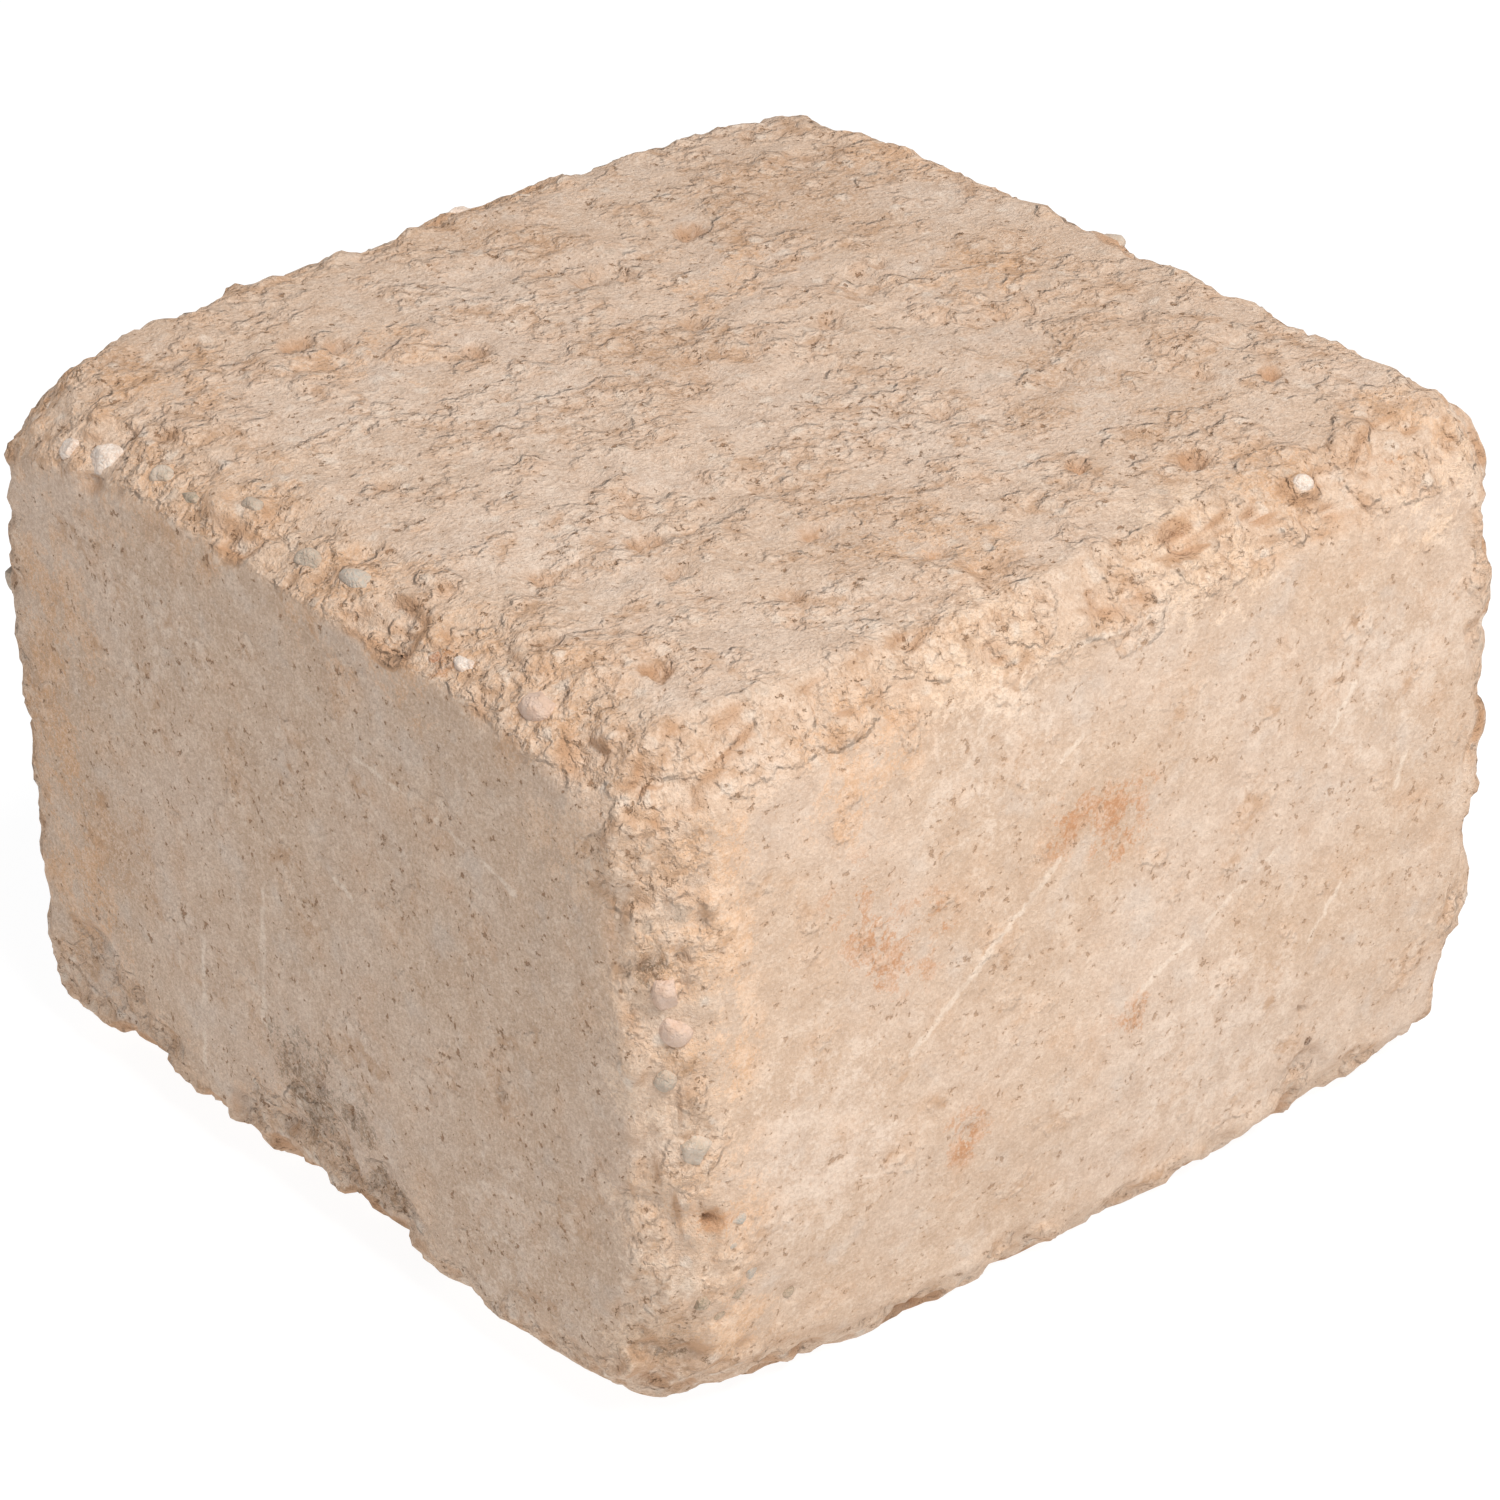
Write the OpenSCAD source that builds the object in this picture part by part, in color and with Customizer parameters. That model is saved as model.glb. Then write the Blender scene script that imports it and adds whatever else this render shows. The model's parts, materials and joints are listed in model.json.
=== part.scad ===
// Tumbled concrete block: a square, dry-cast garden wall block with worn arrises and corners,
// chips along its edges, and stones of its aggregate laid bare where the mortar skin is gone.
// +X is right, +Y is back, +Z is up. The origin is the centre of the base.

/* [Block] */
// Length over the left and right faces
block_x = 146; // [110:1:240]
// Width over the front and back faces
block_y = 146; // [110:1:240]
// Height from the bedding face to the top face
block_z = 102; // [70:1:200]

/* [Upright arrises] */
// Radius worn on the upright arris at the front left
front_left_r = 10; // [6:0.5:14]
// Radius worn on the upright arris at the front right
front_right_r = 9; // [6:0.5:14]
// Radius worn on the upright arris at the back left
back_left_r = 9; // [6:0.5:14]
// Radius worn on the upright arris at the back right
back_right_r = 8; // [6:0.5:14]

/* [Top arrises] */
// Radius worn on the top arris of the left face
left_top_r = 10; // [6:0.5:14]
// Radius worn on the top arris of the front face
front_top_r = 8; // [6:0.5:14]
// Radius worn on the top arris of the right face
right_top_r = 7; // [6:0.5:14]
// Radius worn on the top arris of the back face
back_top_r = 7; // [6:0.5:14]

/* [Base arrises] */
// Radius worn on the base arris of the left face
left_base_r = 9; // [6:0.5:14]
// Radius worn on the base arris of the front face
front_base_r = 7; // [6:0.5:14]
// Radius worn on the base arris of the right face
right_base_r = 8; // [6:0.5:14]
// Radius worn on the base arris of the back face
back_base_r = 8; // [6:0.5:14]

/* [Corner wear] */
// Depth worn off the front left top corner, along its diagonal
front_left_top_wear = 9; // [6.5:0.5:13]
// Depth worn off the front right top corner
front_right_top_wear = 10; // [6.5:0.5:13]
// Depth worn off the back left top corner
back_left_top_wear = 12; // [6.5:0.5:13]
// Depth worn off the back right top corner
back_right_top_wear = 7; // [6.5:0.5:13]
// Depth worn off the front left base corner
front_left_base_wear = 6.5; // [6.5:0.5:13]
// Depth worn off the front right base corner
front_right_base_wear = 12; // [6.5:0.5:13]
// Depth worn off the back left base corner
back_left_base_wear = 11; // [6.5:0.5:13]
// Depth worn off the back right base corner
back_right_base_wear = 9; // [6.5:0.5:13]

/* [Stones] */
// How far a stone on an arris stands out of the mortar around it
stone_stand = 0.6; // [0.2:0.1:1.2]
// How uneven the skin of each stone is, as a share of its size
stone_uneven = 0.12; // [0.05:0.01:0.2]

/* [Hidden] */

left_x = -block_x / 2;
right_x = block_x / 2;
front_y = -block_y / 2;
back_y = block_y / 2;

// A corner is worn to a ball. The ball's radius is this share of its centre's distance from the
// sharp corner, which lets the worn patch run out along the arrises with no step.
wear_ball_share = 0.86;

// How far a corner's cutter starts outside the block
overcut = 1;

// Smoothness of curved faces, and of the facets on a stone
$fn = 64;
stone_rings = 6;
stone_sides = 9;

// Chips knocked off the arrises: distance along the arris, radius of the scoop, depth of the bite.
// An arris along X is measured from the left face, one along Y from the front face.
left_base_chips = [[96, 16, 2.5], [80, 11, 3], [54, 13, 3.5], [24, 14, 2]];
front_base_chips = [[42, 10, 2], [108, 11, 2.5], [72, 14, 1.5]];
right_base_chips = [[48, 12, 2.5], [100, 14, 2]];
back_base_chips = [[35, 13, 2.5], [95, 11, 2]];
left_top_chips = [[52, 9, 1.2]];
front_top_chips = [[92, 13, 1.2]];
right_top_chips = [[34, 10, 2], [52, 12, 1.5], [95, 13, 1.5]];
back_top_chips = [[60, 14, 1.5], [104, 10, 1.5]];
front_left_chips = [[34, 8, 1.2], [77, 6, 1.2]];
front_right_chips = [[82, 10, 1.5], [38, 13, 1.2]];
back_left_chips = [[48, 12, 1.5]];
back_right_chips = [[62, 12, 1.8], [30, 9, 1.5]];

// ---- Places on the block ----

// A point on the rounded arris where a side face meets a second face. side and second are the unit
// directions out of the two faces, edge is a point on the sharp edge, and turn is 0 on the side face
// and 90 on the second face.
function arris_point(edge, side, second, r, turn) =
    edge - r * (1 - cos(turn)) * side - r * (1 - sin(turn)) * second;

// Puts its children at a point, with their own Z turned to point out of the block
module facing(point, out) {
    translate(point)
        rotate([0, acos(out.z), atan2(out.y, out.x)])
            children();
}

// Puts its children on a rounded arris, facing straight out of it
module on_arris(edge, side, second, r, turn) {
    facing(arris_point(edge, side, second, r, turn), cos(turn) * side + sin(turn) * second)
        children();
}

LEFT = [-1, 0, 0];
RIGHT = [1, 0, 0];
FRONT = [0, -1, 0];
BACK = [0, 1, 0];
UP = [0, 0, 1];
DOWN = [0, 0, -1];

module on_left_top(along, turn) {
    on_arris([left_x, front_y + along, block_z], LEFT, UP, left_top_r, turn) children();
}

module on_right_top(along, turn) {
    on_arris([right_x, front_y + along, block_z], RIGHT, UP, right_top_r, turn) children();
}

module on_front_top(along, turn) {
    on_arris([left_x + along, front_y, block_z], FRONT, UP, front_top_r, turn) children();
}

module on_back_top(along, turn) {
    on_arris([left_x + along, back_y, block_z], BACK, UP, back_top_r, turn) children();
}

module on_left_base(along, turn) {
    on_arris([left_x, front_y + along, 0], LEFT, DOWN, left_base_r, turn) children();
}

module on_right_base(along, turn) {
    on_arris([right_x, front_y + along, 0], RIGHT, DOWN, right_base_r, turn) children();
}

module on_front_base(along, turn) {
    on_arris([left_x + along, front_y, 0], FRONT, DOWN, front_base_r, turn) children();
}

module on_back_base(along, turn) {
    on_arris([left_x + along, back_y, 0], BACK, DOWN, back_base_r, turn) children();
}

module on_front_left(height, turn) {
    on_arris([left_x, front_y, height], LEFT, FRONT, front_left_r, turn) children();
}

module on_front_right(height, turn) {
    on_arris([right_x, front_y, height], RIGHT, FRONT, front_right_r, turn) children();
}

module on_back_left(height, turn) {
    on_arris([left_x, back_y, height], LEFT, BACK, back_left_r, turn) children();
}

module on_back_right(height, turn) {
    on_arris([right_x, back_y, height], RIGHT, BACK, back_right_r, turn) children();
}

// A place on the front face, measured in from the left face and up from the base
module on_front_face(in_from_left, height) {
    facing([left_x + in_from_left, front_y, height], FRONT)
        children();
}

// ---- Mortar body ----

// A rectangle centred on the origin, with a radius of its own at each corner:
// low low, high low, high high, low high
module worn_rectangle(size, radii) {
    half = size / 2;
    signs = [[-1, -1], [1, -1], [1, 1], [-1, 1]];
    difference() {
        square(size, center = true);
        for (i = [0:3]) {
            inset = [half.x - radii[i], half.y - radii[i]];
            difference() {
                translate([signs[i].x * (half.x - radii[i] / 2), signs[i].y * (half.y - radii[i] / 2)])
                    square(radii[i] * [1, 1], center = true);
                translate([signs[i].x * inset.x, signs[i].y * inset.y])
                    circle(radii[i]);
            }
        }
    }
}

// The moulded block with its twelve arrises rounded, before corners and chips
module rounded_block() {
    intersection() {
        linear_extrude(block_z)
            worn_rectangle([block_x, block_y], [front_left_r, front_right_r, back_right_r, back_left_r]);
        translate([0, back_y, block_z / 2])
            rotate([90, 0, 0])
                linear_extrude(block_y)
                    worn_rectangle([block_x, block_z], [left_base_r, right_base_r, right_top_r, left_top_r]);
        translate([left_x, 0, block_z / 2])
            rotate([90, 0, 90])
                linear_extrude(block_x)
                    worn_rectangle([block_y, block_z], [front_base_r, back_base_r, back_top_r, front_top_r]);
    }
}

// What tumbling takes off one corner: the corner's cube, less the ball it is worn to
module corner_loss(corner, inward, wear) {
    reach = wear / (1 - wear_ball_share);
    side = reach / sqrt(3);
    difference() {
        translate(corner + (side - overcut) / 2 * inward)
            cube(side + overcut, center = true);
        translate(corner + side * inward)
            sphere(wear_ball_share * reach);
    }
}

module all_corner_losses() {
    corner_loss([left_x, front_y, block_z], [1, 1, -1], front_left_top_wear);
    corner_loss([right_x, front_y, block_z], [-1, 1, -1], front_right_top_wear);
    corner_loss([left_x, back_y, block_z], [1, -1, -1], back_left_top_wear);
    corner_loss([right_x, back_y, block_z], [-1, -1, -1], back_right_top_wear);
    corner_loss([left_x, front_y, 0], [1, 1, 1], front_left_base_wear);
    corner_loss([right_x, front_y, 0], [-1, 1, 1], front_right_base_wear);
    corner_loss([left_x, back_y, 0], [1, -1, 1], back_left_base_wear);
    corner_loss([right_x, back_y, 0], [-1, -1, 1], back_right_base_wear);
}

// The scoop of one chip, at the middle of the arris that its parent puts it on
module chip(radius, bite) {
    translate([0, 0, radius - bite])
        sphere(radius);
}

module all_chips() {
    middle = 45;
    for (c = left_base_chips) on_left_base(c[0], middle) chip(c[1], c[2]);
    for (c = front_base_chips) on_front_base(c[0], middle) chip(c[1], c[2]);
    for (c = right_base_chips) on_right_base(c[0], middle) chip(c[1], c[2]);
    for (c = back_base_chips) on_back_base(c[0], middle) chip(c[1], c[2]);
    for (c = left_top_chips) on_left_top(c[0], middle) chip(c[1], c[2]);
    for (c = front_top_chips) on_front_top(c[0], middle) chip(c[1], c[2]);
    for (c = right_top_chips) on_right_top(c[0], middle) chip(c[1], c[2]);
    for (c = back_top_chips) on_back_top(c[0], middle) chip(c[1], c[2]);
    for (c = front_left_chips) on_front_left(c[0], middle) chip(c[1], c[2]);
    for (c = front_right_chips) on_front_right(c[0], middle) chip(c[1], c[2]);
    for (c = back_left_chips) on_back_left(c[0], middle) chip(c[1], c[2]);
    for (c = back_right_chips) on_back_right(c[0], middle) chip(c[1], c[2]);
}

module mortar_body() {
    color([0.87, 0.75, 0.65])
        difference() {
            rounded_block();
            all_corner_losses();
            all_chips();
            all_stones();
        }
}

// ---- Stones ----

// A point on a stone's skin: a ball stretched to the stone's half sizes, swollen and pinched by two
// slow waves. polar is 0 at the outer pole and 180 at the inner one.
function skin_point(half, seed, polar, around) =
    let (swell = 1 + stone_uneven * (sin(polar) * sin(2 * around + seed) + cos(3 * polar + 2 * seed) / 2))
    swell * [half.x * sin(polar) * cos(around), half.y * sin(polar) * sin(around), half.z * cos(polar)];

// A rounded stone of rings and sides, with one point at each pole
module pebble(half, seed) {
    last = stone_rings - 2;
    inner_pole = (last + 1) * stone_sides + 1;
    points = [
        skin_point(half, seed, 0, 0),
        for (i = [1:stone_rings - 1])
            for (j = [0:stone_sides - 1])
                skin_point(half, seed, 180 * i / stone_rings, 360 * j / stone_sides),
        skin_point(half, seed, 180, 0),
    ];
    at = function (i, j) 1 + i * stone_sides + j % stone_sides;
    faces = [
        for (j = [0:stone_sides - 1]) [0, at(0, j + 1), at(0, j)],
        for (i = [0:last - 1]) for (j = [0:stone_sides - 1]) [at(i, j), at(i, j + 1), at(i + 1, j + 1)],
        for (i = [0:last - 1]) for (j = [0:stone_sides - 1]) [at(i, j), at(i + 1, j + 1), at(i + 1, j)],
        for (j = [0:stone_sides - 1]) [at(last, j), at(last, j + 1), inner_pole],
    ];
    polyhedron(points, faces);
}

// A stone laid bare on an arris, standing out of the mortar by stone_stand
module bare_stone(half, seed, spin = 0) {
    translate([0, 0, stone_stand - half.z])
        rotate([0, 0, spin])
            pebble(half, seed);
}

// A stone in a flat face, where the mould kept it level with the face
module flush_stone(half, seed, spin = 0) {
    rotate([0, 0, spin])
        translate([0, 0, -half.z / 3])
            pebble(half, seed);
}

// No stone reaches past the mould's own faces
module inside_mould() {
    intersection() {
        children();
        translate([left_x, front_y, 0])
            cube([block_x, block_y, block_z]);
    }
}

// Each stone's place and size, drawn once for the stone and again for its pocket in the mortar

module white_quartz_large_shape() {
    on_left_top(117, 40) bare_stone([2.4, 2.8, 2.4], 20);
}

module white_quartz_small_shape() {
    on_left_top(123.5, 33) bare_stone([1.5, 1.8, 1.6], 75);
}

module pale_grey_stone_left_edge_shape() {
    on_left_top(105, 53) bare_stone([1.5, 2.4, 1.5], 140);
}

module grey_green_stone_left_edge_shape() {
    on_left_top(97.5, 49) bare_stone([1.2, 1.9, 1.2], 200);
}

module grey_stone_left_edge_shape() {
    on_left_top(88, 70) bare_stone([1.2, 2.1, 1.3], 35);
}

module grey_pebble_left_edge_shape() {
    on_left_top(73.5, 56) bare_stone([1.8, 2.2, 1.7], 310);
}

module blue_grey_flat_stone_shape() {
    on_left_top(64, 62) bare_stone([1.5, 3.4, 1.3], 95);
}

module red_grit_left_edge_shape() {
    on_left_top(44.5, 42) bare_stone([0.9, 1.1, 1.1], 15);
}

module white_pebble_left_edge_shape() {
    on_left_top(40, 48) bare_stone([1.5, 1.9, 1.5], 250);
}

module pink_stone_left_edge_shape() {
    on_left_top(26.5, 52) bare_stone([2.2, 3.1, 2.1], 60);
}

module pink_stone_upper_shape() {
    on_front_left(70, 48) bare_stone([2.5, 2.0, 2.0], 110);
}

module pink_stone_lower_shape() {
    on_front_left(64.5, 55) bare_stone([2.3, 2.0, 1.9], 5);
}

module grey_pebble_front_edge_shape() {
    on_front_left(57.5, 46) bare_stone([1.7, 1.4, 1.5], 170);
}

module pale_stone_front_edge_shape() {
    on_front_left(47, 68) bare_stone([2.6, 2.1, 1.8], 280);
}

module blue_grey_grit_shape() {
    on_front_face(12, 34.5) flush_stone([1.0, 1.3, 1.2], 25);
    on_front_face(11, 31) flush_stone([1.1, 0.9, 1.2], 130);
    on_front_face(14.5, 24.5) flush_stone([1.3, 1.1, 1.3], 220, 30);
}

module olive_pebbles_shape() {
    on_front_left(23, 74) bare_stone([1.1, 1.3, 1.5], 45);
    on_front_face(12.8, 21.8) flush_stone([1.1, 1.5, 1.4], 190, 20);
    on_front_face(10.2, 19.6) flush_stone([0.9, 1.1, 1.2], 330);
    on_front_face(21.5, 17.5) flush_stone([1.0, 1.4, 1.3], 80, 50);
}

module white_stone_top_edge_shape() {
    on_front_top(110, 56) bare_stone([1.3, 1.7, 1.3], 120);
}

module brown_pebble_front_face_shape() {
    on_front_face(113.3, 15) flush_stone([0.9, 1.1, 1.1], 65);
}

module pale_stone_right_edge_shape() {
    on_right_top(74, 44) bare_stone([1.9, 2.8, 1.9], 10);
}

module grey_stone_right_corner_shape() {
    on_front_right(58, 26) bare_stone([2.3, 1.8, 1.8], 155);
}

module white_pebble_back_edge_shape() {
    on_back_top(82, 40) bare_stone([1.6, 2.0, 1.6], 230);
}

module pink_stone_back_corner_shape() {
    on_back_right(46, 50) bare_stone([2.8, 2.1, 2.0], 300);
}

module grey_stone_back_left_shape() {
    on_back_left(70, 45) bare_stone([2.2, 1.8, 1.8], 50);
}

module all_stones() {
    white_quartz_large_shape();
    white_quartz_small_shape();
    pale_grey_stone_left_edge_shape();
    grey_green_stone_left_edge_shape();
    grey_stone_left_edge_shape();
    grey_pebble_left_edge_shape();
    blue_grey_flat_stone_shape();
    red_grit_left_edge_shape();
    white_pebble_left_edge_shape();
    pink_stone_left_edge_shape();
    pink_stone_upper_shape();
    pink_stone_lower_shape();
    grey_pebble_front_edge_shape();
    pale_stone_front_edge_shape();
    blue_grey_grit_shape();
    olive_pebbles_shape();
    white_stone_top_edge_shape();
    brown_pebble_front_face_shape();
    pale_stone_right_edge_shape();
    grey_stone_right_corner_shape();
    white_pebble_back_edge_shape();
    pink_stone_back_corner_shape();
    grey_stone_back_left_shape();
}

WHITE_QUARTZ = [0.90, 0.82, 0.76];
PALE_GREY = [0.80, 0.75, 0.68];
GREY = [0.66, 0.63, 0.57];
GREY_GREEN = [0.52, 0.50, 0.41];
BLUE_GREY = [0.62, 0.62, 0.60];
PINK = [0.88, 0.76, 0.69];
RED = [0.72, 0.44, 0.30];
OLIVE = [0.52, 0.46, 0.36];
BROWN = [0.36, 0.24, 0.16];

module white_quartz_large() { color(WHITE_QUARTZ) inside_mould() white_quartz_large_shape(); }
module white_quartz_small() { color(WHITE_QUARTZ) inside_mould() white_quartz_small_shape(); }
module pale_grey_stone_left_edge() { color(PALE_GREY) inside_mould() pale_grey_stone_left_edge_shape(); }
module grey_green_stone_left_edge() { color(GREY_GREEN) inside_mould() grey_green_stone_left_edge_shape(); }
module grey_stone_left_edge() { color(GREY) inside_mould() grey_stone_left_edge_shape(); }
module grey_pebble_left_edge() { color(GREY) inside_mould() grey_pebble_left_edge_shape(); }
module blue_grey_flat_stone() { color(BLUE_GREY) inside_mould() blue_grey_flat_stone_shape(); }
module red_grit_left_edge() { color(RED) inside_mould() red_grit_left_edge_shape(); }
module white_pebble_left_edge() { color(WHITE_QUARTZ) inside_mould() white_pebble_left_edge_shape(); }
module pink_stone_left_edge() { color(PINK) inside_mould() pink_stone_left_edge_shape(); }
module pink_stone_upper() { color(PINK) inside_mould() pink_stone_upper_shape(); }
module pink_stone_lower() { color(PINK) inside_mould() pink_stone_lower_shape(); }
module grey_pebble_front_edge() { color(GREY) inside_mould() grey_pebble_front_edge_shape(); }
module pale_stone_front_edge() { color(PALE_GREY) inside_mould() pale_stone_front_edge_shape(); }
module blue_grey_grit() { color(BLUE_GREY) inside_mould() blue_grey_grit_shape(); }
module olive_pebbles() { color(OLIVE) inside_mould() olive_pebbles_shape(); }
module white_stone_top_edge() { color(WHITE_QUARTZ) inside_mould() white_stone_top_edge_shape(); }
module brown_pebble_front_face() { color(BROWN) inside_mould() brown_pebble_front_face_shape(); }
module pale_stone_right_edge() { color(PALE_GREY) inside_mould() pale_stone_right_edge_shape(); }
module grey_stone_right_corner() { color(GREY) inside_mould() grey_stone_right_corner_shape(); }
module white_pebble_back_edge() { color(WHITE_QUARTZ) inside_mould() white_pebble_back_edge_shape(); }
module pink_stone_back_corner() { color(PINK) inside_mould() pink_stone_back_corner_shape(); }
module grey_stone_back_left() { color(GREY) inside_mould() grey_stone_back_left_shape(); }

mortar_body();
white_quartz_large();
white_quartz_small();
pale_grey_stone_left_edge();
grey_green_stone_left_edge();
grey_stone_left_edge();
grey_pebble_left_edge();
blue_grey_flat_stone();
red_grit_left_edge();
white_pebble_left_edge();
pink_stone_left_edge();
pink_stone_upper();
pink_stone_lower();
grey_pebble_front_edge();
pale_stone_front_edge();
blue_grey_grit();
olive_pebbles();
white_stone_top_edge();
brown_pebble_front_face();
pale_stone_right_edge();
grey_stone_right_corner();
white_pebble_back_edge();
pink_stone_back_corner();
grey_stone_back_left();
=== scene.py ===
import json
import math

import bpy
import numpy as np
from mathutils import Matrix, Vector


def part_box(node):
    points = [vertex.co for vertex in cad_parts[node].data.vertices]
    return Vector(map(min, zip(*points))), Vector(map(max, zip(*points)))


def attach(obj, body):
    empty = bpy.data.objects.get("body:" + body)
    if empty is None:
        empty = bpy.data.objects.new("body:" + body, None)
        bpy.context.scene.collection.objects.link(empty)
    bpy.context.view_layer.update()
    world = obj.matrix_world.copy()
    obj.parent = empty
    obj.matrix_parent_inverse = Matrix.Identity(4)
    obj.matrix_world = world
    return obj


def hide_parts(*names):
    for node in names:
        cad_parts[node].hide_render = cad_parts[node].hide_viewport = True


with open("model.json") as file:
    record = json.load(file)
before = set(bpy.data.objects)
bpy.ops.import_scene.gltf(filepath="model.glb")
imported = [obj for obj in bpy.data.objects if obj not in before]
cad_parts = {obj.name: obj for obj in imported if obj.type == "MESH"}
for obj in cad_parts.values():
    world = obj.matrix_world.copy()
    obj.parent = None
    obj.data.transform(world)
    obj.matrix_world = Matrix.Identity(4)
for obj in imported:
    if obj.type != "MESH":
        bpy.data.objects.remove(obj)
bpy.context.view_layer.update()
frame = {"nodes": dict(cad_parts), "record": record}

# ---- Mortar body ----
# One dry-cast block of sand, cement and gravel, pressed in a mould with smooth sides, struck off
# flat on top, and then tumbled in a drum, which knocked its arrises and corners rough.

MM = 0.001
LEFT, RIGHT = np.array([-1.0, 0, 0]), np.array([1.0, 0, 0])
FRONT, BACK = np.array([0, -1.0, 0]), np.array([0, 1.0, 0])
BASE, TOP = np.array([0, 0, -1.0]), np.array([0, 0, 1.0])

body_low, body_high = (np.array(corner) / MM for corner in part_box("mortar_body"))
body_middle = (body_low + body_high) / 2
body_half = (body_high - body_low) / 2

# How far tumbling wore each arris back from its first face and from its second, and the radius
# that each corner was worn to, in millimetres
arris_wear = [
    (LEFT, FRONT, 9.5, 7), (RIGHT, FRONT, 6, 5.5), (LEFT, BACK, 9, 8), (RIGHT, BACK, 8, 8.5),
    (LEFT, TOP, 12, 4.5), (FRONT, TOP, 7.5, 8), (RIGHT, TOP, 7, 9), (BACK, TOP, 8, 5),
    (LEFT, BASE, 9, 7.5), (FRONT, BASE, 3.5, 6), (RIGHT, BASE, 8, 7.5), (BACK, BASE, 7.5, 8),
]
corner_radii = [
    (LEFT + FRONT + TOP, 12), (RIGHT + FRONT + TOP, 10),
    (LEFT + BACK + TOP, 13), (RIGHT + BACK + TOP, 14),
    (LEFT + FRONT + BASE, 12), (RIGHT + FRONT + BASE, 10),
    (LEFT + BACK + BASE, 9), (RIGHT + BACK + BASE, 12),
]

# How far the wear of an arris and of a corner reaches, and the power of a worn arris's section,
# where 1 would be a flat bevel and 2 a quarter round
arris_reach, corner_reach = 12.0, 20.0
roundness = 1.45

# How far the foot of the front leans back, how much more at the left arris, and how far that
# reaches along the front and up it
lean_front, lean_corner, lean_width, lean_height = 3.4, 2.6, 35.0, 34.0

# Chips: the two faces of the arris, how far along it from the left, front or base, the radius of
# the scoop and the depth of its bite
chips = [
    (LEFT, BASE, 117, 15, 4.4), (LEFT, BASE, 98, 12, 2.8), (LEFT, BASE, 80, 11, 3.5),
    (LEFT, BASE, 63, 10, 5.0), (FRONT, BASE, 22, 22, 1.5), (FRONT, BASE, 44, 8, 1.2),
    (FRONT, BASE, 92, 9, 1.2), (FRONT, BASE, 112, 9, 1.8), (RIGHT, BASE, 48, 12, 2.5),
    (RIGHT, BASE, 100, 14, 2.0), (BACK, BASE, 35, 13, 2.5), (BACK, BASE, 95, 11, 2.0),
    (LEFT, TOP, 52, 9, 1.2), (FRONT, TOP, 92, 13, 1.2), (RIGHT, TOP, 16, 9, 1.2),
    (RIGHT, TOP, 36, 9, 2.2), (RIGHT, TOP, 52, 7, 1.6), (RIGHT, TOP, 68, 13, 2.4),
    (RIGHT, TOP, 88, 9, 1.0), (BACK, TOP, 60, 14, 0.8), (BACK, TOP, 104, 10, 1.8),
    (BACK, TOP, 134, 9, 1.5), (LEFT, FRONT, 72, 6, 1.4),
    (RIGHT, FRONT, 82, 8, 2.0), (RIGHT, FRONT, 38, 13, 1.2), (LEFT, BACK, 96, 20, 3.0),
    (RIGHT, BACK, 62, 14, 1.2), (RIGHT, BACK, 30, 12, 1.0),
]

# Holes where a stone fell out or the mix left a gap: the middle of each, in millimetres from the
# middle of the base, its radius and its depth
holes = [
    (-35.7, 47, 102, 3.0, 1.8), (-32, 44.5, 102, 2.2, 1.4), (-20.2, 29.8, 102, 2.6, 1.5),
    (26.3, 40.2, 102, 3.0, 1.8), (6.5, 37.7, 102, 3.2, 1.5), (10.5, 35.5, 102, 2.4, 1.3),
    (-36.3, -27.2, 102, 2.8, 1.6), (-38.9, -35.4, 102, 2.4, 1.4), (-31.3, -49.2, 102, 2.4, 1.2),
    (52.8, -46.5, 102, 1.6, 2.4), (17.5, -47.8, 102, 1.6, 2.2), (0.5, 8, 102, 2.2, 1.1),
    (21, 5, 102, 2.4, 1.2), (-8, -22, 102, 2.0, 1.1), (38, 14, 102, 2.2, 1.1),
    (-50, 8, 102, 2.2, 1.1), (-71, -65, 98, 1.8, 1.4), (-71.5, -69, 73, 1.7, 1.3),
    (-65.3, -73, 36, 1.7, 2.2), (37.2, -73, 21.9, 1.5, 1.2), (-24.1, -73, 30.2, 1.5, 0.8),
    (42.7, -73, 61.2, 1.3, 0.7), (-73, -40.8, 43, 1.2, 1.0), (-73, -0.5, 23.4, 1.8, 1.2),
    (-73, 5.2, 25, 1.5, 1.0), (-73, -7.1, 22.8, 1.6, 1.1), (-73, 2.5, 19, 1.4, 0.9),
    (-73, -48.6, 94, 1.2, 0.7),
]

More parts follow.
